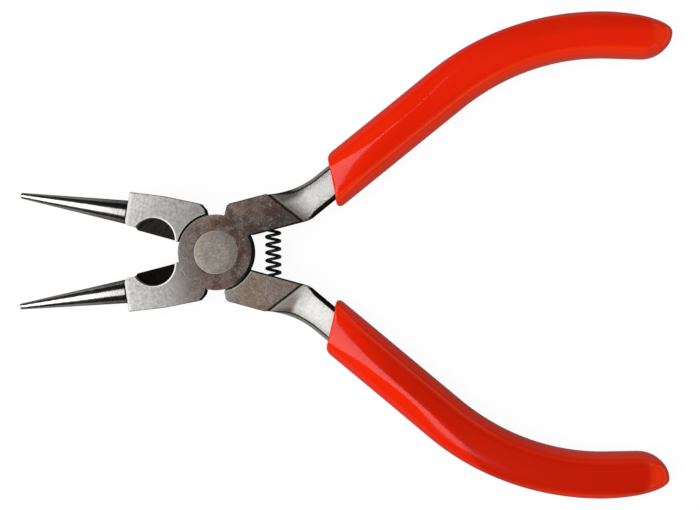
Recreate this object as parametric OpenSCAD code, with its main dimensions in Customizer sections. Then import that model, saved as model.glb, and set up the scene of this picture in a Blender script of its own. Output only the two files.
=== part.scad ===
// Round-nose pliers with side cutters: two identical forged halves in a lap joint,
// a flush rivet, dipped handle grips and a coil spring that holds the handles apart.
//
// The origin lies on the pivot axis, in the plane that the pliers rest on. The nose
// points to -X, the handles to +X, and the rivet stands along Z. Lengths are in mm.

/* [Joint] */
// Thickness of the joint, from face to face
joint_t = 8; // [6:0.5:10]
// Diameter of the lap disc around the rivet
lap_d = 13.8; // [12.6:0.1:15]
// Gap between a lap disc and the hollow that it turns in
lap_clear = 0.27; // [0.1:0.01:0.5]
// Gap between the two lap faces
lap_gap = 0.08; // [0.04:0.02:0.2]
// Angle between the two halves at rest
rest_angle = 30; // [22:1:36]

/* [Rivet] */
// Diameter of the rivet's flush heads
rivet_head_d = 8; // [6.6:0.1:9.4]
// Diameter of the rivet's shank
rivet_shank_d = 5.5; // [4:0.1:6]
// Depth of the cone under each head
rivet_head_h = 1.2; // [0.8:0.1:2]
// Gap between the rivet and its holes
rivet_clear = 0.03; // [0.01:0.01:0.1]

/* [Jaws] */
// Length of solid block in front of the cutters
jaw_front_l = 2.15; // [1.4:0.05:6]
// Height of the jaw block above the closing line at its heel
jaw_heel_w = 7.8; // [7.3:0.1:9]
// Height of the jaw block above the closing line at its front
jaw_front_w = 6.5; // [5.6:0.1:7.5]
// Length of the heel's sloping corner
jaw_heel_l = 5.1; // [4.6:0.1:6]
// Thickness of the jaw block at its front face
jaw_front_t = 6; // [5:0.1:6]
// Length of full thickness left behind the jaw's taper
jaw_flat_l = 0.6; // [0.2:0.1:2]
// Gap between the closed jaws in front of the cutters, on each side
jaw_relief = 0.5; // [0.1:0.1:1]
// Angle from the closing line to the heel wall, seen from the pivot
heel_angle = 60.5; // [58:0.5:61]

/* [Cutters] */
// Steel left between a half-moon recess and the hollow around the lap disc
cutter_wall = 0.5; // [0.3:0.05:1.5]
// Radius of the half-moon recess
cutter_r = 4.05; // [3.2:0.05:4.4]
// Distance from the recess's centre to the cutting edge
cutter_drop = 0.9; // [0.2:0.1:1.6]
// Slope of the bevels that meet in the cutting edge
cutter_bevel = 35; // [25:1:42]

/* [Nose] */
// Length of the round nose
nose_l = 19.9; // [12:0.1:30]
// Diameter of the nose at the jaw block
nose_base_d = 4.4; // [3:0.1:4.6]
// Diameter of the nose at its tip
nose_tip_d = 1.05; // [0.8:0.05:2]
// Distance from the closing line to the nose's axis at the jaw block
nose_base_y = 2.75; // [2.6:0.05:3.2]

/* [Handles] */
// Width of the joint block above the closing line on the handle side
shoulder_w = 8; // [7.6:0.1:9]
// Angle from the closing line to the shoulder wall, seen from the pivot
shoulder_angle = 62.2; // [58:0.1:62.4]
// Distance from the closing line to the inner edge of the joint block
handle_inner_y = 1.45; // [1:0.05:2]
// Place where the ground joint face ends, along the middle of the handle
face_end_x = 14.2; // [13:0.1:15]
// Slope of the edge where the ground joint face ends
face_end_angle = 53; // [40:1:60]
// Radius of the hollow between the joint face and the tang
ramp_r = 5; // [3:0.5:6]
// Radius of the dip in the handle's outer edge
dip_r = 16; // [12:1:18]
// Depth of the dip below the joint block's outer edge
dip_depth = 0.42; // [0.2:0.02:0.7]
// Width of the tang inside the grip
tang_w = 5.6; // [4.6:0.1:6.2]
// Thickness of the tang
tang_t = 5.2; // [4:0.1:5.6]
// Chamfer on the tang's long edges
tang_chamfer = 0.7; // [0.2:0.1:1.2]

/* [Grips] */
// Distance from the pivot to the grip's front lip
grip_x = 24; // [24:0.1:30]
// Distance from the closing line to the middle of the front lip
grip_y = 7.17; // [7:0.01:7.4]
// Slope of the grip's straight front part
grip_splay = 24.4; // [22:0.1:27]
// Length of the straight front part
grip_front_l = 26.8; // [18:0.1:32]
// Radius of the bend, measured to the middle of the grip
bend_r = 44.9; // [30:0.1:60]
// Slope of the tail, towards the closing line
tail_splay = 16.4; // [6:0.1:24]
// Length of the straight tail
tail_l = 7.2; // [5:0.5:20]
// Width of the grip
grip_w = 8.8; // [8.4:0.1:10]
// Thickness of the grip
grip_t = 8; // [7.4:0.1:10]
// Radius of the grip's long edges
grip_edge_r = 2.2; // [1:0.1:3]
// Gap between the tang and the grip around it
grip_clear = 0.04; // [0.02:0.01:0.2]
// Distance from the end of the tang to the grip's tail
grip_tip_l = 4; // [2:0.5:6]

/* [Spring] */
// Distance from the pivot to the spring's axis
spring_x = 10.45; // [10.2:0.05:11]
// Outer diameter of the spring
spring_d = 3.05; // [2.4:0.05:3.2]
// Diameter of the spring wire
wire_d = 0.58; // [0.4:0.02:0.7]
// Number of open turns
open_turns = 8; // [5:1:10]
// Gap between the spring and the wall of its seats
seat_clear = 0.27; // [0.1:0.01:0.5]
// Depth of the seats
seat_depth = 2.4; // [1:0.1:3]
// Gap between each end of the spring and the bottom of its seat
seat_gap = 0.05; // [0.02:0.01:0.2]

/* [Hidden] */
$fn = 96;
// Overlap that carries a cut past the face it opens
over = 1;
// Height of the plane between the two laps
mid_z = max(joint_t, grip_t) / 2;
lap_r = lap_d / 2;
hollow_r = lap_r + lap_clear;

// Cutters: the recesses lie between the hollow and the solid front of the jaw block
cutter_half_l = sqrt(cutter_r * cutter_r - cutter_drop * cutter_drop);
cutter_x = hollow_r + cutter_wall + cutter_half_l;
jaw_l = cutter_x + cutter_half_l + jaw_front_l;

// Jaw block: its front face stands square to the nose's axis, its outer edge is crowned,
// and its heel wall stands a step above the lap disc
heel_step = 1.15;
nose_tip_y = nose_tip_d / 2;
nose_slope = asin((nose_base_y - nose_tip_y) / nose_l);
jaw_crown = 0.27;
jaw_taper_x = hollow_r + jaw_flat_l;
jaw_taper = atan((joint_t - jaw_front_t) / 2 / (jaw_l - jaw_taper_x));
heel_r = lap_r + heel_step;
// Depth to which the outlines reach into the lap disc
root = 2;

// Handle: joint block, dip and tang
shoulder_bevel = 0.3;
shoulder_r = shoulder_w / sin(shoulder_angle) - shoulder_bevel;
shoulder_corner_x = shoulder_r * cos(shoulder_angle) + 2 * shoulder_bevel;
bend_turn = grip_splay + tail_splay;
ramp_drop = (joint_t - tang_t) / 2;
ramp_run = sqrt(ramp_r * ramp_r - (ramp_r - ramp_drop) * (ramp_r - ramp_drop));
face_mid_y = (shoulder_w + handle_inner_y) / 2;
dip_steps = 10;
dip_lead = 2.9;
tang_tail_l = tail_l + grip_w / 2 - grip_tip_l;

// Grip: its straight part starts ahead of the lip and is cut off square to the
// closing line. The straight parts are a seam smaller than the bend that they run into.
grip_lead = 8;
edge_steps = 4;
seam = 0.01;
seam_l = 0.1;

// Spring: its seats lie on one line when the pliers are at rest
half_angle = rest_angle / 2;
seat_d = spring_d + 2 * seat_clear;
seat_mouth_y = spring_x * tan(half_angle) + handle_inner_y / cos(half_angle);
seat_end_y = seat_mouth_y + seat_depth;
spring_l = 2 * (seat_end_y - seat_gap);
end_turns = 1;
all_turns = open_turns + 2 * end_turns;
spring_pitch = (spring_l - wire_d - 2 * end_turns * wire_d) / open_turns;
coil_r = (spring_d - wire_d) / 2;
turn_steps = 14;
wire_sides = 6;

// Point on a ray from the pivot, at an angle above the closing line; side is -1 towards
// the nose and 1 towards the handles
function ray(side, angle, r) = [side * r * cos(angle), r * sin(angle)];

// Point beside the handle's straight part: along from the grip's lip, and across it
function beside(along, across) = [
    grip_x + along * cos(grip_splay) - across * sin(grip_splay),
    grip_y + along * sin(grip_splay) + across * cos(grip_splay)
];

// The dip in the outer edge is an arc. It starts a lead before its lowest point and runs
// into the tang's outer edge, at dip_end along the handle.
dip_low_y = shoulder_w - dip_depth;
dip_rise = dip_r * (1 - cos(grip_splay));
dip_end = (dip_low_y + dip_rise - beside(0, tang_w / 2)[1]) / sin(grip_splay);
dip_x = beside(dip_end, tang_w / 2)[0] - dip_r * sin(grip_splay);
dip_start = -asin(dip_lead / dip_r);
// Where the tang's inner edge leaves the joint block's inner edge, along the handle
inner_corner = (handle_inner_y - beside(0, -tang_w / 2)[1]) / sin(grip_splay);

function dip_point(a) = [dip_x + dip_r * sin(a), dip_low_y + dip_r * (1 - cos(a))];

// Places along the wire, counted in turns, give its height above the spring's end
function coil_rise(t) = wire_d * min(t, end_turns)
    + spring_pitch * min(max(t - end_turns, 0), open_turns)
    + wire_d * max(t - end_turns - open_turns, 0);

// Outline of the jaw block, drawn above the closing line
module jaw_outline() {
    polygon([
        ray(-1, heel_angle, lap_r - root),
        ray(-1, heel_angle, heel_r),
        [-jaw_heel_l, jaw_heel_w],
        [-(jaw_heel_l + jaw_l) / 2, (jaw_heel_w + jaw_front_w) / 2 + jaw_crown],
        [-jaw_l - (jaw_front_w - nose_base_y) * tan(nose_slope), jaw_front_w],
        [-jaw_l + (nose_base_y - jaw_relief) * tan(nose_slope), jaw_relief],
        [-cutter_x - cutter_half_l, jaw_relief],
        [-cutter_x - cutter_half_l + jaw_relief, 0],
        [-lap_r + root, 0]
    ]);
}

// Outline of the joint block on the handle side, drawn above the closing line
module shoulder_outline() {
    polygon(concat(
        [
            [lap_r - root, handle_inner_y],
            beside(inner_corner, -tang_w / 2),
            beside(dip_end, -tang_w / 2)
        ],
        [for (i = [dip_steps:-1:0])
            dip_point(dip_start + (grip_splay - dip_start) * i / dip_steps)],
        [
            [dip_point(dip_start)[0] - shoulder_bevel, shoulder_w],
            [shoulder_corner_x, shoulder_w],
            ray(1, shoulder_angle, shoulder_r),
            ray(1, shoulder_angle, lap_r - root)
        ]
    ));
}

// One of the two half-moon recesses: its floor slopes to the cutting edge
module cutter_recess() {
    intersection() {
        translate([-cutter_x, -cutter_drop, 0]) cylinder(r = cutter_r, h = joint_t);
        rotate([cutter_bevel, 0, 0])
            translate([-jaw_l, -joint_t, 0]) cube([jaw_l, 3 * joint_t, joint_t]);
    }
}

// Wedge that thins one face of the jaw block towards the nose
module jaw_taper_cut() {
    translate([-jaw_taper_x, -over, joint_t / 2]) rotate([0, -jaw_taper, 0])
        translate([-2 * jaw_l, 0, 0]) cube([2 * jaw_l, 2 * jaw_heel_w, joint_t]);
}

// Hollow that lowers one face from the ground joint face to the tang
module ramp_cut() {
    translate([face_end_x, face_mid_y, 0]) rotate([0, 0, 90 - face_end_angle]) {
        translate([ramp_run, 0, tang_t / 2 + ramp_r]) rotate([90, 0, 0])
            cylinder(r = ramp_r, h = 6 * shoulder_w, center = true);
        translate([ramp_run, -3 * shoulder_w, tang_t / 2])
            cube([8 * shoulder_w, 6 * shoulder_w, joint_t]);
    }
}

// Bevels the inner edge of the shank, in line with the tang's own chamfer
module shank_chamfer_cut() {
    translate([grip_x, grip_y, 0]) rotate([0, 0, grip_splay])
        translate([inner_corner / 2, -tang_w / 2, tang_t / 2]) rotate([45, 0, 0])
            cube([-inner_corner, tang_chamfer * sqrt(2), tang_chamfer * sqrt(2)], center = true);
}

// Both faces of a forging get the same cut
module both_faces() {
    children();
    mirror([0, 0, 1]) children();
}

// Places a piece at the handle's tail, where the straight tail begins
module at_tail() {
    translate([grip_x, grip_y, 0]) rotate([0, 0, grip_splay])
        translate([grip_front_l, -bend_r, 0]) rotate([0, 0, -bend_turn])
            translate([0, bend_r, 0]) children();
}

// Sweeps a cross-section along the handle. The first child goes round the bend, and the
// second, a hair smaller, goes along the straight parts and a little into the bend. In
// the section, x points away from the other handle and y is up.
module along_handle(lead, tail) {
    translate([grip_x, grip_y, 0]) rotate([0, 0, grip_splay]) {
        translate([-lead, 0, 0]) rotate([90, 0, 90])
            linear_extrude(lead + grip_front_l + seam_l) children(1);
        translate([grip_front_l, -bend_r, 0]) rotate([0, 0, 90 - bend_turn])
            rotate_extrude(angle = bend_turn) translate([bend_r, 0]) children(0);
    }
    at_tail() translate([-seam_l, 0, 0]) rotate([90, 0, 90])
        linear_extrude(tail + seam_l) children(1);
}

// Section of the tang, larger all round by the given gap
module tang_section(clear) {
    w = tang_w / 2 + clear;
    t = tang_t / 2 + clear;
    c = tang_chamfer;
    polygon([
        [w, c - t], [w, t - c], [w - c, t], [c - w, t],
        [-w, t - c], [-w, c - t], [c - w, -t], [w - c, -t]
    ]);
}

// Section of the grip: a block with round long edges, smaller all round by the given step
module grip_section(step) {
    r = grip_edge_r - step;
    w = grip_w / 2 - grip_edge_r;
    t = grip_t / 2 - grip_edge_r;
    polygon([for (quarter = [0:3], i = [0:edge_steps]) let (
        a = 90 * (quarter + i / edge_steps),
        across = (quarter == 0 || quarter == 3) ? w : -w,
        up = (quarter < 2) ? t : -t
    ) [across + r * cos(a), up + r * sin(a)]]);
}

module tang() {
    along_handle(-inner_corner - tang_chamfer, tang_tail_l) {
        tang_section(0);
        tang_section(-seam);
    }
}

// The shank hole is open to both heads' cones
module rivet_hole() {
    cylinder(d = rivet_shank_d + 2 * rivet_clear, h = 2 * joint_t, center = true);
    both_faces() translate([0, 0, joint_t / 2 - rivet_head_h]) cylinder(
        d1 = rivet_shank_d + 2 * rivet_clear,
        d2 = rivet_head_d + 2 * rivet_clear,
        h = rivet_head_h
    );
}

// Blind seat in the handle's inner edge, on the line that the spring lies along at rest
module spring_seat() {
    rotate([0, 0, -half_angle]) translate([spring_x, 0, 0]) rotate([-90, 0, 0])
        cylinder(d = seat_d, h = seat_end_y);
}

// The nose: a slim cone whose tip meets the other one's when the pliers are shut
module nose() {
    translate([-jaw_l, nose_base_y, 0]) rotate([0, 0, nose_slope]) rotate([0, -90, 0]) {
        cylinder(d1 = nose_base_d, d2 = nose_tip_d, h = nose_l);
        translate([0, 0, -over]) cylinder(d = nose_base_d, h = over);
    }
}

module jaw() {
    difference() {
        translate([0, 0, -joint_t / 2]) linear_extrude(joint_t) jaw_outline();
        both_faces() {
            jaw_taper_cut();
            cutter_recess();
        }
    }
    nose();
}

module shoulder() {
    difference() {
        translate([0, 0, -joint_t / 2]) linear_extrude(joint_t) shoulder_outline();
        both_faces() {
            ramp_cut();
            shank_chamfer_cut();
        }
    }
    tang();
}

// One forging, with the pliers shut and its lap on top: the jaw lies below the closing
// line and the handle above it
module half() {
    difference() {
        union() {
            difference() {
                union() {
                    mirror([0, 1, 0]) jaw();
                    shoulder();
                }
                translate([0, 0, -joint_t]) cylinder(r = hollow_r, h = joint_t + lap_gap / 2);
            }
            translate([0, 0, lap_gap / 2]) cylinder(r = lap_r, h = (joint_t - lap_gap) / 2);
        }
        rivet_hole();
        spring_seat();
    }
}

// Round end of the grip
module grip_tip() {
    at_tail() translate([tail_l, 0, 0]) rotate([0, 0, -90])
        rotate_extrude(angle = 180) intersection() {
            grip_section(0);
            translate([0, -grip_t]) square([grip_w, 2 * grip_t]);
        }
}

module grip() {
    difference() {
        union() {
            along_handle(grip_lead, tail_l + seam_l) {
                grip_section(0);
                grip_section(seam);
            }
            grip_tip();
        }
        along_handle(2 * grip_lead, tang_tail_l + grip_clear) {
            tang_section(grip_clear);
            tang_section(grip_clear - seam);
        }
        translate([grip_x - 4 * grip_lead, grip_y - 2 * grip_w, -grip_t])
            cube([4 * grip_lead, 4 * grip_w, 2 * grip_t]);
    }
}

// Turns a right-hand piece to its place at rest
module right_side() {
    translate([0, 0, mid_z]) rotate([0, 0, half_angle]) children();
}

// The left side is the same forging, turned over about the closing line
module left_side() {
    translate([0, 0, mid_z]) rotate([180, 0, 0]) rotate([0, 0, half_angle]) children();
}

module left_half() {
    color([0.62, 0.60, 0.58]) left_side() half();
}

module right_half() {
    color([0.50, 0.45, 0.43]) right_side() half();
}

module left_grip() {
    color([0.92, 0.13, 0.02]) left_side() grip();
}

module right_grip() {
    color([0.92, 0.13, 0.02]) right_side() grip();
}

module pivot_rivet() {
    neck_z = joint_t / 2 - rivet_head_h;
    color([0.66, 0.64, 0.61]) translate([0, 0, mid_z]) rotate_extrude() polygon([
        [0, -joint_t / 2], [rivet_head_d / 2, -joint_t / 2], [rivet_shank_d / 2, -neck_z],
        [rivet_shank_d / 2, neck_z], [rivet_head_d / 2, joint_t / 2], [0, joint_t / 2]
    ]);
}

module return_spring() {
    rings = all_turns * turn_steps;
    points = [for (i = [0:rings], k = [0:wire_sides - 1]) let (
        a = 360 * i / turn_steps,
        b = 360 * k / wire_sides,
        r = coil_r + wire_d / 2 * cos(b)
    ) [
        spring_x + r * cos(a),
        coil_rise(i / turn_steps) + wire_d / 2 * (1 + sin(b)) - spring_l / 2,
        mid_z - r * sin(a)
    ]];
    walls = [for (i = [0:rings - 1], k = [0:wire_sides - 1]) let (
        next = (k + 1) % wire_sides,
        low = i * wire_sides,
        high = low + wire_sides
    ) [low + k, high + k, high + next, low + next]];
    first = [for (k = [0:wire_sides - 1]) k];
    last = [for (k = [wire_sides - 1:-1:0]) rings * wire_sides + k];
    color([0.07, 0.07, 0.08]) polyhedron(points, concat([first], walls, [last]), convexity = 10);
}

left_half();
right_half();
left_grip();
right_grip();
pivot_rivet();
return_spring();
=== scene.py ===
"""Round-nose pliers with side cutters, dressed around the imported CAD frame.

Every solid shape here is a distance function in millimetres, drawn with the pliers shut:
the pivot at the origin, the nose along -X, the handles along +X and the lap of the half
on top. The same forging and the same grip serve both sides. The left one is turned over.
"""
import math
import bpy
import numpy as np
from mathutils import Matrix, Vector


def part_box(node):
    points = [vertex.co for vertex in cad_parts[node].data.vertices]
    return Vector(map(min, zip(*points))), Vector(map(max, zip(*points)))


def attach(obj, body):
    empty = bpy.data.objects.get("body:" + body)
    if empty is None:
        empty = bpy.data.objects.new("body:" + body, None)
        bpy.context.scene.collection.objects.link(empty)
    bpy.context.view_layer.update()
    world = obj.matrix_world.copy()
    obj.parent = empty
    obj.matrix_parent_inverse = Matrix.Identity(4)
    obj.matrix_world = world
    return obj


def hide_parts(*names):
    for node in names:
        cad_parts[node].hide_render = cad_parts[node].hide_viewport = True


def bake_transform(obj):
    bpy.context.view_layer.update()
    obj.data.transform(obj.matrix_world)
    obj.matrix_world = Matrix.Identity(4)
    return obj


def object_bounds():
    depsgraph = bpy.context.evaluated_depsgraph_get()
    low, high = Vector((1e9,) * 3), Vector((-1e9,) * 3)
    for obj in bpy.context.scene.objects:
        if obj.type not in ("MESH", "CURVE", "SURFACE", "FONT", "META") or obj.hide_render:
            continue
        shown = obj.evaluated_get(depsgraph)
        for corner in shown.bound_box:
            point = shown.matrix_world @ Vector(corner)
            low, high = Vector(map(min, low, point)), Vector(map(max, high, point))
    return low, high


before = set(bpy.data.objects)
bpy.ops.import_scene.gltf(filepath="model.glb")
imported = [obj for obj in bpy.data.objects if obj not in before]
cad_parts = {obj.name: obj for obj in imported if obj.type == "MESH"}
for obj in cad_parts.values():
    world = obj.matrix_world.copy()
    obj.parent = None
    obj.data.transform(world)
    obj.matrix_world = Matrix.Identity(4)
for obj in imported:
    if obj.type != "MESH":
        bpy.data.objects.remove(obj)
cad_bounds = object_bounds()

MM = 0.001

# -------- dimensions (mm, degrees)
# Frame: the pieces stand on z = 0, and the laps meet halfway up
JOINT_T = (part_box("pivot_rivet")[1][2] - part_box("pivot_rivet")[0][2]) / MM
MID_Z = JOINT_T / 2
RIVET_D = (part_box("pivot_rivet")[1][0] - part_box("pivot_rivet")[0][0]) / MM
HALF_ANGLE = 15

# Joint
LAP_R = 6.9
INSIDE_LAP = LAP_R - 2
HOLLOW_R = LAP_R + 0.27
LAP_GAP = 0.08
HOLE_R = 2.78
RIVET_CONE_H = 1.2
RIVET_CLEAR = 0.03
RIM_TO_SHOULDER = 3.2
RIM_TO_HEEL = -3.3

# Edges and corners
EDGE_R = 0.1
CORNER_R = 0.12
FINE_R = 0.05

# Jaw block, cutters and nose
CUTTER_R = 4.05
CUTTER_DROP = 0.9
CUTTER_BEVEL = 35
CUTTER_HALF_L = math.sqrt(CUTTER_R**2 - CUTTER_DROP**2)
CUTTER_X = HOLLOW_R + 0.5 + CUTTER_HALF_L
JAW_L = CUTTER_X + CUTTER_HALF_L + 2.15
JAW_HEEL_W = 7.8
JAW_FRONT_W = 6.5
JAW_HEEL_L = 5.1
JAW_FRONT_T = 6
JAW_CROWN = 0.27
JAW_RELIEF = 0.5
JAW_CORNER = 0.55
HEEL_STEP = 1.15
HEEL_ANGLE = 60.5
TAPER_X = HOLLOW_R + 0.6
TAPER = math.degrees(math.atan((JOINT_T - JAW_FRONT_T) / 2 / (JAW_L - TAPER_X)))
NOSE_L = 19.9
NOSE_BASE_R = 2.2
NOSE_TIP_R = 0.525
NOSE_Y = 2.75
NOSE_END_R = 0.28
NOSE_SUNK = 1
GROOVE_R = 0.13
NOSE_SLOPE = math.degrees(math.asin((NOSE_Y - NOSE_TIP_R) / NOSE_L))

# Handle: joint block, dip, ramp and tang
SHOULDER_W = 8
SHOULDER_ANGLE = 62.2
INNER_Y = 1.45
FACE_END = (14.2, (SHOULDER_W + INNER_Y) / 2)
FACE_END_ANGLE = 53
RAMP_R = 1.6
RAMP_INNER_W = 1.1
RAMP_OUTER_W = 3.9
RAMP_REACH = 5.5
DISH_SLOPE = 3.2
DISH_DROP = 0.2
DIP_R = 16
DIP_DEPTH = 0.42
DIP_LEAD = 2.9
TANG_W = 5.6
TANG_T = 5.2
TANG_CHAMFER = 0.7
EDGE_BEVEL = 0.06
BEVEL_START = 0.2
BEVEL_END = 3.4
SHANK_END = 3.5

# Path along the handle, from the grip's lip
LIP_X = 24
PATH_X = LIP_X
PATH_Y = 7.17
SPLAY = 24.4
FRONT_L = 26.8
BEND_R = 44.9
TAIL_SPLAY = 16.4
BEND_TURN = math.radians(SPLAY + TAIL_SPLAY)
BEND_END = FRONT_L + BEND_R * BEND_TURN
TANG_END = BEND_END + 7.6
TAIL_END = BEND_END + 11.6

# Spring
SPRING_X = 10.45
SPRING_R = 1.235
WIRE_R = 0.29
SEAT_R = 1.795
SEAT_END_Y = SPRING_X * math.tan(math.radians(HALF_ANGLE)) \
    + INNER_Y / math.cos(math.radians(HALF_ANGLE)) + 2.4
OPEN_TURNS = 8
END_TURNS = 1
SPRING_LEAN = 0.24
SPRING_SHIFT = 0.08
SPRING_CLEAR = 0.05

# Boxes that hold the shapes, and the cells that they are meshed in
FORGING_BOX = (-38.6, -8.6, -4.3), (28.2, 12.6, 4.3)
FORGING_CELL = 0.12
GRIP_BOX = (23.0, -1.5, -4.6), (91.5, 31, 4.6)
GRIP_CELL = 0.16

# -------- camera, light and floor (m, degrees; the lens in mm)
CAMERA_PLACE = (0.024457, -0.000311, 0.408)
CAMERA_ROLL = 0.38
LENS = 113.1
KEY_RADIANCE = 2.4
CARD_RADIANCE = 0.55
TENT_LEVEL = 0.36
ROOM_LEVEL = 0.01
BACKDROP_IN_METAL = 0.01
FLOOR_GLOW = 0.94
FLOOR_SHADE = 0.075
FLOOR_IN_METAL = 0.12
FLOOR_REACH = 12
FLOOR_BELOW = 0.00002


# -------- distance functions
def unit(degrees):
    """Direction at an angle."""
    return math.cos(math.radians(degrees)), math.sin(math.radians(degrees))


def smoothstep(low, high, v):
    t = np.clip((v - low) / (high - low), 0, 1)
    return t * t * (3 - 2 * t)


def meet(a, b, r):
    """Intersection of two solids, with the edge rounded to radius r."""
    return np.minimum(np.maximum(a, b), -r) + np.hypot(np.maximum(a + r, 0), np.maximum(b + r, 0))


def join(a, b, r):
    """Union of two solids, with a hollow fillet of radius r."""
    return -meet(-a, -b, r)


def soft_meet(a, b, k):
    """Intersection of two solids that melts the edge over a width of about k."""
    h = np.maximum(k - np.abs(a - b), 0) / k
    return np.maximum(a, b) + h * h * k / 4


def inset(points, r):
    """Moves the edges of a closed outline inwards by r."""
    pts = np.array(points, float)
    area = np.sum(pts[:, 0] * np.roll(pts[:, 1], -1) - np.roll(pts[:, 0], -1) * pts[:, 1])
    if area < 0:
        pts = pts[::-1]
    run = np.roll(pts, -1, axis=0) - pts
    run /= np.linalg.norm(run, axis=1)[:, None]
    left = np.stack([-run[:, 1], run[:, 0]], axis=1)
    before = np.roll(left, 1, axis=0)
    return pts + r * (left + before) / (1 + np.sum(left * before, axis=1))[:, None]


def outline(x, y, points, r):
    """Distance to a closed outline whose outward corners have radius r."""
    pts = inset(points, r)
    nearest = np.full(np.broadcast(x, y).shape, np.inf)
    inside = np.zeros(nearest.shape, bool)
    for (ax, ay), (bx, by) in zip(pts, np.roll(pts, -1, axis=0)):
        ex, ey = bx - ax, by - ay
        px, py = x - ax, y - ay
        t = np.clip((px * ex + py * ey) / (ex * ex + ey * ey), 0, 1)
        nearest = np.minimum(nearest, (px - t * ex)**2 + (py - t * ey)**2)
        if ey:
            inside ^= ((ay > y) != (by > y)) & (px < py * ex / ey)
    return np.where(inside, -1, 1) * np.sqrt(nearest) - r


def ray(side, angle, r):
    c, s = unit(angle)
    return side * r * c, r * s


def handle_axes(x, y):
    """Distances along and across the handle's straight part, from the lip."""
    c, s = unit(SPLAY)
    dx, dy = x - PATH_X, y - PATH_Y
    return dx * c + dy * s, dy * c - dx * s


def beside(along, across):
    c, s = unit(SPLAY)
    return PATH_X + along * c - across * s, PATH_Y + along * s + across * c


def path_axes(x, y):
    """Distances along and across the whole bent handle; across is positive outwards."""
    a, b = handle_axes(x, y)
    da, db = a - FRONT_L, b + BEND_R
    angle = np.arctan2(da, db)
    c, s = math.cos(BEND_TURN), math.sin(BEND_TURN)
    tail_a, tail_b = da * c - db * s, da * s + db * c
    bent = (a > FRONT_L) & (angle <= BEND_TURN)
    tail = (a > FRONT_L) & (angle > BEND_TURN)
    along = np.where(bent, FRONT_L + BEND_R * angle, a)
    across = np.where(bent, np.hypot(da, db) - BEND_R, b)
    along = np.where(tail, BEND_END + tail_a, along)
    across = np.where(tail, tail_b - BEND_R, across)
    return along, across


# -------- forging
def jaw_outline():
    slope = math.tan(math.radians(NOSE_SLOPE))
    step_x = -CUTTER_X - CUTTER_HALF_L
    front_low = -JAW_L + (NOSE_Y - JAW_RELIEF) * slope
    corner = JAW_CORNER
    return [
        ray(-1, HEEL_ANGLE, INSIDE_LAP),
        ray(-1, HEEL_ANGLE, LAP_R + HEEL_STEP),
        (-JAW_HEEL_L, JAW_HEEL_W),
        (-(JAW_HEEL_L + JAW_L) / 2, (JAW_HEEL_W + JAW_FRONT_W) / 2 + JAW_CROWN),
        (-JAW_L - (JAW_FRONT_W - NOSE_Y) * slope, JAW_FRONT_W),
        (front_low - corner * slope, JAW_RELIEF + corner),
        (front_low + 0.3 * corner, JAW_RELIEF + 0.3 * corner),
        (front_low + corner, JAW_RELIEF),
        (step_x, JAW_RELIEF),
        (step_x + JAW_RELIEF, 0),
        (-INSIDE_LAP, 0),
    ]


def nose(x, y, z):
    """Slim cone with a rounded tip and a fine groove round its root."""
    c, s = unit(NOSE_SLOPE)
    dx, dy = x + JAW_L, y - NOSE_Y
    along = -dx * c - dy * s
    r = np.hypot(dy * c - dx * s, z)
    taper = math.atan((NOSE_BASE_R - NOSE_TIP_R) / NOSE_L)
    wall = (r - NOSE_BASE_R) * math.cos(taper) + along * math.sin(taper)
    solid = meet(wall, along - NOSE_L, NOSE_END_R)
    groove = np.hypot(r - NOSE_BASE_R - 0.02, along - 0.02) - GROOVE_R
    return np.maximum(np.maximum(solid, -along - NOSE_SUNK), -groove)


def cutter_recess(x, y, z):
    """Half-moon recess whose floor slopes to the cutting edge."""
    c, s = unit(CUTTER_BEVEL)
    wall = np.hypot(x + CUTTER_X, y + CUTTER_DROP) - CUTTER_R
    floor = y * s - np.abs(z) * c
    return meet(wall, floor, 0.35)


def jaw(x, y, z):
    """Jaw block with tapered faces, cutter recesses and nose."""
    c, s = unit(TAPER)
    up = np.abs(z)
    taper = (up - MID_Z) * c - (x + TAPER_X) * s
    top = soft_meet(up - MID_Z, taper, 0.25)
    edge_r = 0.14 + 0.2 * smoothstep(-JAW_L + 1.4, -JAW_L + 0.4, x)
    block = meet(outline(x, y, jaw_outline(), CORNER_R), top, edge_r)
    block = meet(block, -cutter_recess(x, y, z), EDGE_R)
    return join(block, nose(x, y, z), FINE_R)


def shank_outline():
    """Joint block, dip and the tang's straight part."""
    low_y = SHOULDER_W - DIP_DEPTH
    rise = DIP_R * (1 - math.cos(math.radians(SPLAY)))
    end = (low_y + rise - beside(0, TANG_W / 2)[1]) / math.sin(math.radians(SPLAY))
    dip_x = beside(end, TANG_W / 2)[0] - DIP_R * math.sin(math.radians(SPLAY))
    start = -math.degrees(math.asin(DIP_LEAD / DIP_R))
    angles = np.linspace(SPLAY, start, 12)
    dip = [(dip_x + DIP_R * unit(a)[1], low_y + DIP_R * (1 - unit(a)[0])) for a in angles]
    corner = (INNER_Y - beside(0, -TANG_W / 2)[1]) / math.sin(math.radians(SPLAY))
    bevel = 0.3
    shoulder_r = SHOULDER_W / unit(SHOULDER_ANGLE)[1] - bevel
    cut = 0.5
    inner = [beside(corner + d, -TANG_W / 2) for d in (cut, 3)]
    return [
        (INSIDE_LAP, INNER_Y),
        (beside(corner, -TANG_W / 2)[0] - cut, INNER_Y),
        *inner,
        beside(SHANK_END, -TANG_W / 2),
        beside(SHANK_END, TANG_W / 2),
        *dip,
        (dip[-1][0] - bevel, SHOULDER_W),
        (shoulder_r * unit(SHOULDER_ANGLE)[0] + 2 * bevel, SHOULDER_W),
        ray(1, SHOULDER_ANGLE, shoulder_r),
        ray(1, SHOULDER_ANGLE, INSIDE_LAP),
    ]


def past_face(x, y):
    """Distance past the diagonal edge where the ground joint face ends."""
    c, s = unit(90 - FACE_END_ANGLE)
    return (x - FACE_END[0]) * c + (y - FACE_END[1]) * s


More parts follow.
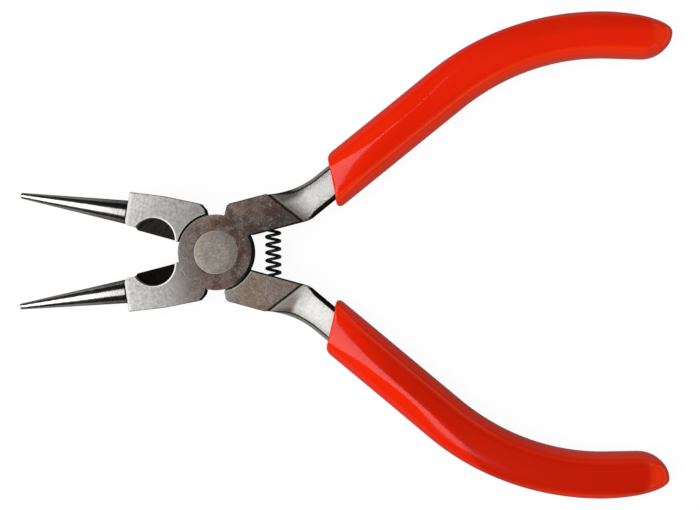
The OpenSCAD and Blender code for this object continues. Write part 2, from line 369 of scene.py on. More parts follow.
def shank_top(x, y, z):
    """Distance above the joint face, the ramp and the dished top of the tang.

    The ramp is steep at the inner side and widens towards the outer one."""
    w = past_face(x, y)
    c, s = unit(90 - FACE_END_ANGLE)
    outwards = (y - FACE_END[1]) * c - (x - FACE_END[0]) * s
    width = RAMP_INNER_W \
        + (RAMP_OUTER_W - RAMP_INNER_W) * smoothstep(-RAMP_REACH, RAMP_REACH, outwards)
    drop = (JOINT_T - TANG_T) / 2 + DISH_DROP
    up = np.abs(z)
    ramp = (up - MID_Z + drop * w / width) * width / np.hypot(drop, width)
    c, s = unit(DISH_SLOPE)
    dish = (up - MID_Z + drop) * c - (w - RAMP_OUTER_W) * s
    return meet(up - MID_Z, join(ramp, dish, RAMP_R), 0.06)


def shank_faces(x, y, z):
    """Distances past the shank's outline and its top, and how far the bevel cuts them."""
    share = smoothstep(BEVEL_START, BEVEL_END, past_face(x, y))
    bevel = EDGE_BEVEL + (TANG_CHAMFER - EDGE_BEVEL) * share
    return outline(x, y, shank_outline(), CORNER_R), shank_top(x, y, z), bevel


def shank(x, y, z):
    """Handle side of the forging, up to just inside the grip."""
    plan, top, bevel = shank_faces(x, y, z)
    edge = (plan + top + bevel) / math.sqrt(2)
    return soft_meet(meet(plan, top, EDGE_R), edge, 0.14)


def forging(x, y, z):
    """One half of the pliers, its lap on top."""
    r = np.hypot(x, y)
    body = np.minimum(jaw(x, -y, z), shank(x, y, z))
    hollow = np.maximum(r - HOLLOW_R, z - LAP_GAP / 2)
    body = meet(body, -hollow, EDGE_R)
    lap = meet(meet(r - LAP_R, z - MID_Z, CORNER_R), LAP_GAP / 2 - z, FINE_R)
    body = np.minimum(body, lap)
    up = np.abs(z)
    cone_slope = math.atan((RIVET_D / 2 - HOLE_R) / RIVET_CONE_H)
    cone = (r - RIVET_D / 2 - RIVET_CLEAR) * math.cos(cone_slope) \
        - (up - MID_Z) * math.sin(cone_slope)
    hole = np.minimum(r - HOLE_R, cone)
    body = meet(body, -hole, FINE_R)
    c, s = unit(-HALF_ANGLE)
    across = x * c + y * s
    depth = y * c - x * s
    seat = meet(np.hypot(across - SPRING_X, z) - SEAT_R, depth - SEAT_END_Y, 0.2)
    return meet(body, -np.maximum(seat, -depth), 0.08)


# -------- grip
GRIP_HALF_T = 4.0
GRIP_FRONT_W = 4.62
GRIP_TAIL_W = 4.38
RIDGE_AT = 1.1
CREASE_AT = -2.2
OUTER_SLOPE = 33
MAIN_SLOPE = 8
INNER_SLOPE = 38
RIDGE_SOFT = 1.7
RIDGE_LIFT = 0.15
RIDGE_DRIFT = 0.9
FADE_START = 18
FADE_END = 36
CREASE_DEPTH = 0.07
CREASE_W = 0.3
FLANK_SOFT = 2.1
TAIL_SAG = 0.3
TIP_OFFSET = 0.8
TIP_OUTER_L = 12.3
TIP_INNER_L = 5.8
CAVITY_CLEAR = 0.06
LIP_TILT = 3.5
LIP_OUTER_R = 1.15
LIP_INNER_R = 1.6
LIP_BEVEL_L = 2.7
LIP_BEVEL_SOFT = 1.1
LIP_OUTER_Y = PATH_Y + GRIP_FRONT_W / unit(SPLAY)[0]


def quarter_ellipse(u, v, length, width):
    """Distance to a quarter of an ellipse; a straight strip ahead of it."""
    u = np.maximum(u, 0) / length
    v = v / width
    k = np.sqrt(u * u + v * v)
    slope = np.sqrt((u / length)**2 + (v / width)**2)
    return (k - 1) * k / np.maximum(slope, 1e-6)


def grip_plan(s, t):
    """Outline of the grip seen from above, with its blunt, lopsided tail."""
    half_w = GRIP_FRONT_W + (GRIP_TAIL_W - GRIP_FRONT_W) * smoothstep(25, 55, s)
    outer = quarter_ellipse(s - TAIL_END + TIP_OUTER_L, t - TIP_OFFSET,
                            TIP_OUTER_L, half_w - TIP_OFFSET)
    inner = quarter_ellipse(s - TAIL_END + TIP_INNER_L, t - TIP_OFFSET,
                            TIP_INNER_L, half_w + TIP_OFFSET)
    return np.where(t > TIP_OFFSET, outer, inner)


def tang_solid(s, t, z, clear):
    """Bar inside the grip."""
    up = np.abs(z) - TANG_T / 2 - clear
    out = np.abs(t) - TANG_W / 2 - clear
    bevel = (up + out + TANG_CHAMFER) / math.sqrt(2)
    bar = np.maximum(np.maximum(up, out), bevel)
    return meet(bar, s - TANG_END - clear, 0.6)


def grip(x, y, z):
    """Dipped sleeve: two shallow facets that meet in a ridge, melting away past the bend."""
    s, t = path_axes(x, y)
    up = np.abs(z)
    fade = smoothstep(FADE_START, FADE_END, s)
    sag = TAIL_SAG * smoothstep(-0.1, 1.5, past_bar(s, t)) * smoothstep(45, 60, s)
    ridge = RIDGE_AT + RIDGE_DRIFT * fade
    outer_slope = np.radians(OUTER_SLOPE - 11 * fade)
    co, so = np.cos(outer_slope), np.sin(outer_slope)
    main_slope = np.radians(MAIN_SLOPE - 4 * fade)
    cm, sm = np.cos(main_slope), np.sin(main_slope)
    ci, si = unit(INNER_SLOPE)
    soft = RIDGE_SOFT - 0.85 * smoothstep(1, 20, s) + 1.2 * smoothstep(27, 45, s)
    height = up - GRIP_HALF_T - (RIDGE_LIFT - 0.025 * fade) * soft + sag
    outer = (t - ridge) * so + height * co
    main = height * cm - (t - ridge) * sm
    crease_drop = (ridge - CREASE_AT) * sm / cm
    inner = (height + crease_drop) * ci - (t - CREASE_AT) * si
    top = soft_meet(outer, main, soft)
    top = soft_meet(top, inner, 0.3 + 0.35 * fade)
    top = top + (CREASE_DEPTH - 0.045 * fade) * np.exp(-((t - CREASE_AT) / CREASE_W)**2)
    plan = grip_plan(s, t)
    ct, st = unit(LIP_TILT)
    lip = (LIP_X - x) * ct - (LIP_OUTER_Y - y) * st
    corners = meet(plan, lip, np.where(t > 0, LIP_OUTER_R, LIP_INNER_R))
    body = meet(soft_meet(top, plan, FLANK_SOFT), lip, 0.3)
    body = soft_meet(body, corners, 0.3)
    body = soft_meet(body, lip_bevel(x, y, up), LIP_BEVEL_SOFT)
    return meet(body, -tang_solid(s, t, z, CAVITY_CLEAR), CORNER_R)


def past_bar(s, t):
    """Distance past the rounded outline of the tang, which shows through the tail."""
    return meet(np.abs(t) - TANG_W / 2 - 0.25, s - TANG_END, 2.3)


def lip_bevel(x, y, up):
    """Plane that leans back from the lip, through the ridge and the inner corner."""
    along = (LIP_BEVEL_L + RIDGE_AT * unit(SPLAY)[1]) / unit(SPLAY)[0]
    a = np.array([*beside(along, RIDGE_AT), GRIP_HALF_T])
    b = np.array([LIP_X - 0.3, a[1] - 1, GRIP_HALF_T - 0.5])
    c = np.array([LIP_X - 0.55, PATH_Y - 4.4, GRIP_HALF_T - 0.85])
    normal = np.cross(b - a, c - a)
    normal /= np.linalg.norm(normal)
    if normal[2] < 0:
        normal = -normal
    return (x - a[0]) * normal[0] + (y - a[1]) * normal[1] + (up - a[2]) * normal[2]


# -------- meshes
def new_object(name, data):
    """Object in the scene, for a mesh, lamp or camera."""
    obj = bpy.data.objects.new(name, data)
    bpy.context.scene.collection.objects.link(obj)
    return obj


def gradient(solid, p, e=0.015):
    """Slope of a distance function at many points."""
    total = np.zeros_like(p)
    for corner in ((1, -1, -1), (-1, -1, 1), (-1, 1, -1), (1, 1, 1)):
        corner = np.array(corner, float)
        q = p + e * corner
        total += solid(q[:, 0], q[:, 1], q[:, 2])[:, None] * corner
    return total / (4 * e)


def settle(solid, p, reach):
    """Moves points onto the surface of a solid."""
    for _ in range(2):
        slope = gradient(solid, p)
        size = np.maximum(np.sum(slope * slope, axis=1), 0.2)
        step = solid(p[:, 0], p[:, 1], p[:, 2]) / size
        p = p - np.clip(step, -reach, reach)[:, None] * slope
    return p


def surface_net(solid, low, high, step):
    """Quads over the surface of a solid: one point in each cell that it passes through."""
    x, y, z = (np.arange(a, b + step, step) for a, b in zip(low, high))
    values = solid(x[:, None, None], y[None, :, None], z[None, None, :])
    values = np.ascontiguousarray(np.broadcast_to(values, (len(x), len(y), len(z))))
    shape = np.array(values.shape)
    crossings, corners = [], []
    for axis in range(3):
        side = [slice(1, -1)] * 3
        side[axis] = slice(1, -2)
        ahead = list(side)
        ahead[axis] = slice(2, -1)
        a, b = values[tuple(side)], values[tuple(ahead)]
        at = np.argwhere((a < 0) != (b < 0))
        va, vb = a[tuple(at.T)], b[tuple(at.T)]
        at = at + 1
        point = at.astype(float)
        point[:, axis] += va / (va - vb)
        u, v = (axis + 1) % 3, (axis + 2) % 3
        ring = []
        for du, dv in ((0, 0), (1, 0), (1, 1), (0, 1)):
            cell = at.copy()
            cell[:, u] -= du
            cell[:, v] -= dv
            ring.append(np.ravel_multi_index(cell.T, shape))
        ring = np.stack(ring, axis=1)
        ring[va > 0] = ring[va > 0][:, ::-1]
        crossings.append(point)
        corners.append(ring)
    crossings, corners = np.concatenate(crossings), np.concatenate(corners)
    cells, quads = np.unique(corners, return_inverse=True)
    quads = quads.reshape(corners.shape)
    share = np.bincount(quads.ravel(), minlength=len(cells))
    points = np.stack([
        np.bincount(quads.ravel(), np.repeat(crossings[:, k], 4), len(cells)) / share
        for k in range(3)], axis=1)
    return points * step + np.array(low), quads


def thin_out(name, points, faces, ratio):
    """Fewer faces for the same surface, most of them where it curves."""
    mesh = bpy.data.meshes.new(name)
    mesh.from_pydata((points * MM).tolist(), [], faces.tolist())
    work = new_object(name, mesh)
    decimate = work.modifiers.new("fewer", "DECIMATE")
    decimate.ratio = ratio
    graph = bpy.context.evaluated_depsgraph_get()
    result = bpy.data.meshes.new_from_object(work.evaluated_get(graph))
    bpy.data.objects.remove(work)
    bpy.data.meshes.remove(mesh)
    p = np.empty(len(result.vertices) * 3)
    result.vertices.foreach_get("co", p)
    return result, p.reshape(-1, 3) / MM


def solid_mesh(name, solid, low, high, step, ratio):
    """Mesh of a distance function, in the shut frame, with the normals of its true surface."""
    points, quads = surface_net(solid, low, high, step)
    points = settle(solid, points, step / 2)
    mesh, p = thin_out(name, points, quads, ratio)
    p = settle(solid, p, step / 2)
    slope = gradient(solid, p)
    normals = slope / np.maximum(np.linalg.norm(slope, axis=1), 1e-9)[:, None]
    return mesh, p, normals


def rest_turn(left):
    """Rotation from the shut frame to rest."""
    turn = Matrix.Rotation(math.radians(HALF_ANGLE), 3, "Z")
    if left:
        turn = Matrix.Rotation(math.pi, 3, "X") @ turn
    return np.array(turn)


def keep_place(mesh, p):
    """Keeps the shut place of each point for the materials."""
    field = mesh.attributes.new("place", "FLOAT_VECTOR", "POINT")
    field.data.foreach_set("vector", p.astype(np.float32).ravel())


def put_in_place(mesh, p, left):
    """Puts a mesh with shut points p at its place at rest."""
    place = p @ rest_turn(left).T + np.array([0, 0, MID_Z])
    mesh.vertices.foreach_set("co", (place * MM).astype(np.float32).ravel())
    keep_place(mesh, p)
    mesh.update()


def dress(mesh, p, normals, left):
    """Puts a smooth mesh with shut normals at its place at rest."""
    put_in_place(mesh, p, left)
    shade_smooth(mesh)
    mesh.normals_split_custom_set_from_vertices((normals @ rest_turn(left).T).tolist())


def shade_smooth(mesh):
    mesh.polygons.foreach_set("use_smooth", [True] * len(mesh.polygons))


def add_field(mesh, name, values):
    field = mesh.attributes.new(name, "FLOAT", "POINT")
    field.data.foreach_set("value", np.asarray(values, np.float32))


def add_object(name, mesh, material, body=None, node=None):
    obj = new_object(name, mesh)
    mesh.materials.append(material)
    if body:
        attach(obj, body)
    if node:
        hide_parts(node)
    return obj


def tube_faces(rings, sides):
    """Quads between rings of points that follow each other, with both ends closed."""
    quads = [(i * sides + k, i * sides + (k + 1) % sides,
              (i + 1) * sides + (k + 1) % sides, (i + 1) * sides + k)
             for i in range(rings - 1) for k in range(sides)]
    last = (rings - 1) * sides
    return quads + [tuple(range(sides))[::-1], tuple(range(last, last + sides))]


def tang_bar():
    """Rest of the tang, hidden inside the grip, as a swept bar with closed ends."""
    w, t, c = TANG_W / 2 - 0.03, TANG_T / 2 - 0.03, TANG_CHAMFER
    section = [(w, c - t), (w, t - c), (w - c, t), (c - w, t),
               (-w, t - c), (-w, c - t), (c - w, -t), (w - c, -t)]
    rings = np.linspace(2.5, TANG_END - 0.3, 60)
    points = []
    for s in rings:
        turn = min(max((s - FRONT_L) / BEND_R, 0), BEND_TURN)
        rest = s - FRONT_L - BEND_R * turn
        for across, up in section:
            r = BEND_R + across
            a = FRONT_L + r * math.sin(turn) + rest * math.cos(turn)
            b = r * math.cos(turn) - BEND_R - rest * math.sin(turn)
            points.append((*beside(a, b), up))
    return np.array(points), tube_faces(len(rings), len(section))


# -------- materials
class Nodes:
    """Small helper that adds shader nodes to a tree and links them."""

    def __init__(self, tree):
        self.tree = tree

    def put(self, socket, value):
        if isinstance(value, bpy.types.NodeSocket):
            self.tree.links.new(value, socket)
        else:
            socket.default_value = value

    def node(self, kind, **inputs):
        made = self.tree.nodes.new("ShaderNode" + kind)
        for key, value in inputs.items():
            self.put(made.inputs[key.replace("_", " ")], value)
        return made

    def math(self, operation, a, b=0.0, clamp=False):
        made = self.node("Math")
        made.operation = operation
        made.use_clamp = clamp
        self.put(made.inputs[0], a)
        self.put(made.inputs[1], b)
        return made.outputs[0]

    def times(self, value, *factors):
        """Product of several values."""
        for factor in factors:
            value = self.math("MULTIPLY", value, factor)
        return value

    def most(self, value, *others):
        """Largest of several values."""
        for other in others:
            value = self.math("MAXIMUM", value, other)
        return value

    def vector(self, operation, a, b):
        made = self.node("VectorMath")
        made.operation = operation
        self.put(made.inputs[0], a)
        self.put(made.inputs[1], b)
        return made.outputs["Value" if operation in ("DOT_PRODUCT", "DISTANCE") else 0]

    def step(self, low, high, value):
        """Smooth step from 0 at low to 1 at high."""
        falls = low > high
        made = self.node("MapRange", Value=value, From_Min=min(low, high),
                         From_Max=max(low, high), To_Min=int(falls), To_Max=int(not falls))
        made.interpolation_type = "SMOOTHSTEP"
        return made.outputs["Result"]

    def band(self, low, high, value, soft=0.06):
        """1 between two values, 0 outside them."""
        return self.times(self.step(low - soft, low + soft, value),
                          self.step(high + soft, high - soft, value))

    def mix(self, factor, a, b):
        """Colour between a and b."""
        made = self.node("Mix")
        made.data_type = "RGBA"
        self.put(made.inputs[0], factor)
        self.put(made.inputs[6], (*a, 1) if isinstance(a, tuple) else a)
        self.put(made.inputs[7], (*b, 1) if isinstance(b, tuple) else b)
        return made.outputs[2]

    def coats(self, colour, *coats):
        """Lays coats over a colour, one after the other. Each is a mask and its colour."""
        for mask, coat in coats:
            colour = self.mix(mask, colour, coat)
        return colour

    def blend(self, factor, a, b):
        """Number between a and b."""
        made = self.node("Mix")
        made.data_type = "FLOAT"
        self.put(made.inputs[0], factor)
        self.put(made.inputs[2], a)
        self.put(made.inputs[3], b)
        return made.outputs[0]

    def tint(self, colour, factor):
        """Multiplies a colour by a number."""
        made = self.node("VectorMath", Vector=colour)
        made.operation = "SCALE"
        self.put(made.inputs["Scale"], factor)
        return made.outputs[0]

    def attribute(self, name, output="Fac"):
        made = self.node("Attribute")
        made.attribute_name = name
        return made.outputs[output]

    def place(self):
        return self.attribute("place", "Vector")

    def along(self, where, start, angle):
        """Distance from a point of the plan, along a direction in it."""
        return self.vector("DOT_PRODUCT", self.vector("SUBTRACT", where, (*start, 0)),
                           (*unit(angle), 0))

    def from_axis(self, where, centre=(0, 0)):
        """Distance from an upright axis."""
        return self.vector("DISTANCE", self.vector("MULTIPLY", where, (1, 1, 0)), (*centre, 0))

    def noise(self, where, scale, detail=2.0, rough=0.5, stretch=(1, 1, 1), turn=0):
        """Noise in shut-frame millimetres, drawn out along directions turned about Z."""
        mapping = self.node("Mapping", Vector=where, Scale=stretch,
                            Rotation=(0, 0, math.radians(turn)))
        mapping.vector_type = "TEXTURE"
        made = self.node("TexNoise", Vector=mapping.outputs[0], Scale=scale,
                         Detail=detail, Roughness=rough)
        return made.outputs[0]

    def spots(self, where, scale, size):
        """Small soft dots, 1 inside and 0 outside."""
        made = self.node("TexVoronoi", Vector=where, Scale=scale)
        return self.step(size, size * 0.5, made.outputs["Distance"])


class Shader(Nodes):
    """One material, and the nodes that feed its Principled BSDF."""

    def __init__(self, name):
        self.material = bpy.data.materials.new(name)
        self.material.use_nodes = True
        super().__init__(self.material.node_tree)
        self.bsdf = self.tree.nodes["Principled BSDF"]

    def bump(self, height, strength, distance):
        made = self.node("Bump", Height=height, Strength=strength, Distance=distance)
        self.set(Normal=made.outputs[0])

    def set(self, **inputs):
        for key, value in inputs.items():
            if isinstance(value, tuple):
                value = (*value, 1)
            self.put(self.bsdf.inputs[key.replace("_", " ")], value)


# Colours of the two forgings, how strong their stains, rubbed spots, painted shade and painted
# highlights are, with the recess floor painted darker as shade on the right, and where the ground
# joint face (joint_x) and the wiped bevel of the shank (wiped) start
LEFT_TONES = {
    "face": (0.304, 0.230, 0.179), "face_dark": (0.240, 0.175, 0.140),
    "face_cool": (0.253, 0.220, 0.202), "joint_x": 5, "satin": 1.0,
    "frost": (0.88, 0.875, 0.85), "ramp": (0.33, 0.275, 0.240), "nook_shade": 1, "foot": 0.8,
    "soot": 0.25, "ramp_shade": 0, "ridge": 0.6, "inner_end": 0, "shoulder": 1, "wiped": 0.6,
    "recess": (0.050, 0.041, 0.034),
}
RIGHT_TONES = {
    "face": (0.185, 0.120, 0.094), "face_dark": (0.096, 0.058, 0.047),
    "face_cool": (0.146, 0.125, 0.124), "joint_x": -7.3, "satin": 0.93,
    "frost": (0.72, 0.71, 0.69), "ramp": (0.71, 0.69, 0.66), "nook_shade": 0, "foot": 0.15,
    "soot": 0.7, "ramp_shade": 0.93, "ridge": 0.22, "inner_end": 0.8, "shoulder": 1.45, "wiped": 2.6,
    "recess": (0.016, 0.012, 0.009),
}


class ForgingSteel(Shader):
    """What the zones of one forging share: places, edges and grains."""

    def __init__(self, name, tones):
        super().__init__(name)
        self.tones = tones
        self.where = self.place()
        self.x, self.y, self.z = self.node("SeparateXYZ", Vector=self.where).outputs
        normal = self.node("NewGeometry").outputs["Normal"]
        upright = self.node("SeparateXYZ", Vector=normal).outputs[2]
        self.flat = self.math("ABSOLUTE", upright)
        self.r = self.from_axis(self.where)
        self.rim = self.attribute("rim")
        self.grain = self.noise(self.where, 1.9, 4, 0.75)
        self.dust = self.noise(self.where, 2.9, 4, 0.8)
        self.cloud = self.noise(self.where, 0.35, 3, 0.6)
        self.hue = self.noise(self.where, 0.62, 3, 0.65)
        self.past = self.along(self.where, FACE_END, 90 - FACE_END_ANGLE)
        self.on_shank = self.step(-0.02, 0.1, self.past)
        self.outer = self.step(-0.5, 0.5, self.along(self.where, (PATH_X, PATH_Y), 90 + SPLAY))

        above = self.times(self.step(0, 0.5, self.y),
                           self.step(RIM_TO_SHOULDER, RIM_TO_SHOULDER - 0.3, self.x))
        below = self.times(self.step(1.3, 0.9, self.y),
                           self.step(RIM_TO_HEEL, RIM_TO_HEEL + 0.3, self.x))
        self.free = self.most(above, below)
        self.scratches = scratch_marks(self)


def scratch_marks(m):
    """Scratches in four directions, more of them in some patches."""
    found = []
    for turn, length in ((31, 1.6), (-58, 1.1), (84, 1.3), (8, 1.0)):
        streak = m.noise(m.where, 1.0, 0, 0.5, (length * 1.5, 0.14, 1), turn)
        found.append(m.step(0.73, 0.78, streak))
    return m.times(m.most(*found), m.step(0.40, 0.62, m.hue))


def satin(m):
    """Jaw, lighter towards the nose, with faint stains."""
    colour = m.mix(m.step(-9, -19, m.x), (0.355, 0.342, 0.330), (0.54, 0.535, 0.51))
    stains = m.times(m.step(0.5, 0.7, m.hue), 0.35)
    colour = m.mix(stains, colour, (0.36, 0.33, 0.29))
    return m.tint(colour, m.times(m.blend(m.grain, 0.1, 1.9), m.tones["satin"]))


def joint_face(m):
    """Where the ground joint face is, and its temper colours, pits, specks and worn rim, with painted
    shade at its inner end.
    """
    x, hue, tones = m.x, m.hue, m.tones
    patches = m.math("SUBTRACT", m.cloud, m.blend(m.step(-9, 5, x), -0.12, 0.04))
    colour = m.mix(m.step(0.38, 0.62, patches), tones["face_dark"], tones["face"])
    lean = m.vector("DOT_PRODUCT", m.where, (-0.35, 1, 0))
    # Painted shade at the inner end of the face
    shaded = m.times(m.step(1.4, -1.6, lean), m.step(4.5, 7.5, x), tones["inner_end"])
    colour = m.coats(
        colour,
        (m.times(m.step(0.42, 0.62, hue), 0.6), tones["face_cool"]),
        (m.times(m.step(-1.5, -6, x), 0.55), (0.22, 0.20, 0.19)),
        (shaded, (0.064, 0.054, 0.050)))
    shoulder = m.times(m.step(4.5, 7.2, m.y), m.step(11, 7.5, x))
    colour = m.tint(colour, m.blend(shoulder, 1.0, tones["shoulder"]))
    colour = m.tint(colour, m.blend(m.dust, -0.3, 2.3))
    specks = m.step(0.64, 0.72, m.noise(m.where, 3.4, 1))
    specks = m.times(specks, m.step(0.35, 0.6, hue), 0.35)
    worn = m.times(m.band(LAP_R - 0.18, LAP_R - 0.04, m.r), m.free)
    worn = m.times(worn, m.blend(m.dust, -0.5, 1.2))
    marks = m.most(m.times(m.scratches, 0.6), specks, worn)
    colour = m.mix(marks, colour, (0.48, 0.45, 0.42))

    ragged = m.times(m.math("SUBTRACT", m.grain, 0.5), 6.0)
    uneven = m.times(m.math("SUBTRACT", m.cloud, 0.5), 4.0)
    reach = m.math("ADD", m.math("ADD", x, ragged), uneven)
    on_face = m.times(m.step(tones["joint_x"] - 3.2, tones["joint_x"] + 2.4, reach),
                      m.step(0.08, -0.08, m.past),
                      m.step(MID_Z - 0.5, MID_Z - 0.2, m.math("ABSOLUTE", m.z)))
    return on_face, colour


def hollow_rim(m):
    """Rubbed edge of the hollow that the other half's disc turns in, lightened further as a painted
    highlight.
    """
    rim = m.times(m.band(HOLLOW_R, HOLLOW_R + 0.24, m.r), m.step(0, -1, m.z))
    return m.times(rim, m.blend(m.dust, 0.2, 1.2)), (0.60, 0.57, 0.54)


def frosted_shank(m):
    """Frosted top and browned ramp, sooty just past the edge of the joint face, with painted shade by
    the outer bevel and a painted highlight at that edge.
    """
    grain, dust, past, rim, outer = m.grain, m.dust, m.past, m.rim, m.outer
    tones = m.tones
    outwards = m.along(m.where, FACE_END, 180 - FACE_END_ANGLE)
    wide = m.blend(m.step(-RAMP_REACH, RAMP_REACH, outwards), RAMP_INNER_W, RAMP_OUTER_W)
    share = m.math("DIVIDE", past, wide)
    fine = m.noise(m.where, 4.2, 2, 0.6)
    brown = m.times(m.step(1.25, 0.75, share), m.step(-5, -0.5, outwards),
                    m.blend(dust, 0.6, 1.3))
    # Painted shade along the outer edge of the frosted top
    outer_edge_shade = m.times(m.step(-1.3, 0, rim), outer, 0.5, dust)
    # Painted shade in the nook between the ramp and the outer bevel
    nook_shade = m.times(m.step(-1.6, -0.2, rim), outer, m.band(0.45, 1.1, share, 0.28),
                   m.blend(dust, 0.5, 1.1), tones["nook_shade"])
    # Painted shade on the ramp, spreading along the outer bevel
    spread = m.times(m.step(-2.2, 0, rim), outer, 3.3)
    ramp_shade = m.step(2.7, -0.2, m.math("SUBTRACT", past, spread))
    ramp_shade = m.math("MULTIPLY", ramp_shade, m.blend(dust, 0.5, 1.4), clamp=True)
    foot = m.times(m.band(0.8, 0.98, share, 0.16), m.step(-3, 2, outwards),
                   m.blend(grain, 0.2, 1.4), tones["foot"])
    soot = m.times(m.step(0.52, 0.62, fine), m.step(3.6, 1.4, past),
                   m.step(1.5, -1.5, outwards), tones["soot"])
    border = m.times(m.step(-1.3, -0.1, rim), m.step(0.46, 0.6, fine), tones["soot"])
    # Painted highlight on the edge just past the joint face
    ridge = m.times(m.band(0.34, 0.62, past, 0.12), m.blend(dust, 0.3, 1.2),
                    tones["ridge"])
    return m.on_shank, m.coats(
        m.tint(tones["frost"], m.blend(grain, 0.6, 1.4)),
        (brown, tones["ramp"]),
        (outer_edge_shade, (0.10, 0.085, 0.07)),
        (nook_shade, (0.095, 0.075, 0.062)),
        (m.times(ramp_shade, tones["ramp_shade"]), (0.088, 0.072, 0.060)),
        (foot, (0.16, 0.12, 0.105)),
        (soot, (0.14, 0.12, 0.09)),
        (border, (0.09, 0.075, 0.06)),
        (ridge, (0.62, 0.60, 0.56)))


def face_line(m):
    """Dark line of painted shade where the joint face ends."""
    ragged = m.times(m.math("SUBTRACT", m.dust, 0.5), 0.5)
    line = m.band(-0.2, 0.24, m.math("ADD", m.past, ragged), 0.11)
    line = m.times(line, m.step(INNER_Y - 0.5, INNER_Y, m.y))
    line = m.math("MULTIPLY", line, m.blend(m.grain, 0.75, 1.2), clamp=True)
    return line, (0.024, 0.017, 0.013)


def black_walls(m):
    """Forged walls black with oxide, darkened further as painted shade, and painted shade on the
    rounded edges of the joint face.
    """
    rolled = m.times(m.step(LAP_R - 0.46, LAP_R - 0.36, m.r),
                     m.step(1.5, 4, m.x),
                     m.step(INNER_Y + 0.3, INNER_Y - 0.2, m.y))
    disc_rim = m.times(m.band(LAP_R - 0.3, LAP_R + 0.02, m.r), m.free)
    # Painted shade on the rounded edges of the joint face
    edge = m.times(m.step(0.98, 0.90, m.flat), m.step(-7.6, -6.4, m.x),
                   m.math("SUBTRACT", 1.0, disc_rim))
    edge = m.times(m.most(edge, rolled), m.step(4, 4.3, m.r),
                   m.step(0.1, -0.1, m.past))
    forged = m.times(m.step(0.5, 0.25, m.flat),
                     m.step(-JAW_L + 3, -JAW_L + 6, m.x))
    # Oxide colour, darkened as painted shade
    oxide = m.tint((0.022, 0.018, 0.015), m.blend(m.grain, 0.4, 1.6))
    return m.most(edge, forged), oxide


def shank_bevels(m):
    """Bevels of the shank: the inner one painted black as shade, with a painted gleam, the outer one
    wiped grey below a dark line of painted shade.
    """
    bevel = m.times(m.step(-0.12, 0.02, m.rim), m.step(0.6, 1.6, m.past))
    wide = m.blend(m.step(BEVEL_START, BEVEL_END, m.past), EDGE_BEVEL, TANG_CHAMFER)
    down = m.math("DIVIDE", m.rim, wide)
    start = m.tones["wiped"]
    wiped = m.times(m.step(0.30, 0.85, down), m.outer,
                    m.step(start, start + 1.8, m.past))
    # Painted gleam on the inner bevel
    gleam = m.math("MULTIPLY", m.band(0.45, 0.7, down, 0.1),
                   m.math("SUBTRACT", 0.8, m.outer), clamp=True)
    # Inner bevel painted black and the top of the outer one painted dark, as shade
    colour = m.coats(
        m.mix(m.outer, (0.014, 0.012, 0.010), (0.050, 0.040, 0.033)),
        (gleam, (0.075, 0.058, 0.040)),
        (wiped, (0.42, 0.40, 0.35)))
    return bevel, m.tint(colour, m.blend(m.dust, 0.4, 1.6))


def recesses(m):
    """Half-moon recesses: a painted highlight along the rim, and the floor painted dark as shade,
    with its faint grinding marks.
    """
    centre = m.from_axis(m.where, (-CUTTER_X, CUTTER_DROP))
    at_jaw = m.step(-2, -6, m.x)
    # Painted highlight along the rim of the recess
    rim_highlight = m.times(m.band(CUTTER_R, CUTTER_R + 0.24, centre), at_jaw,
                  m.blend(m.step(-15, -8, m.x), 0.2, 1.1))
    rim_highlight = m.math("MULTIPLY", rim_highlight, m.blend(m.dust, 0.6, 1.5), clamp=True)
    # Floor of the recess painted dark as shade
    floor = m.times(m.step(CUTTER_R - 0.05, CUTTER_R - 0.13, centre), at_jaw)
    wheel = m.noise(m.where, 1.0, 2, 0.6, (0.3, 3, 3), 25)
    black = m.tint(m.tones["recess"], m.blend(wheel, 0.0, 2.0))
    return (rim_highlight, (0.95, 0.94, 0.92)), (floor, black)


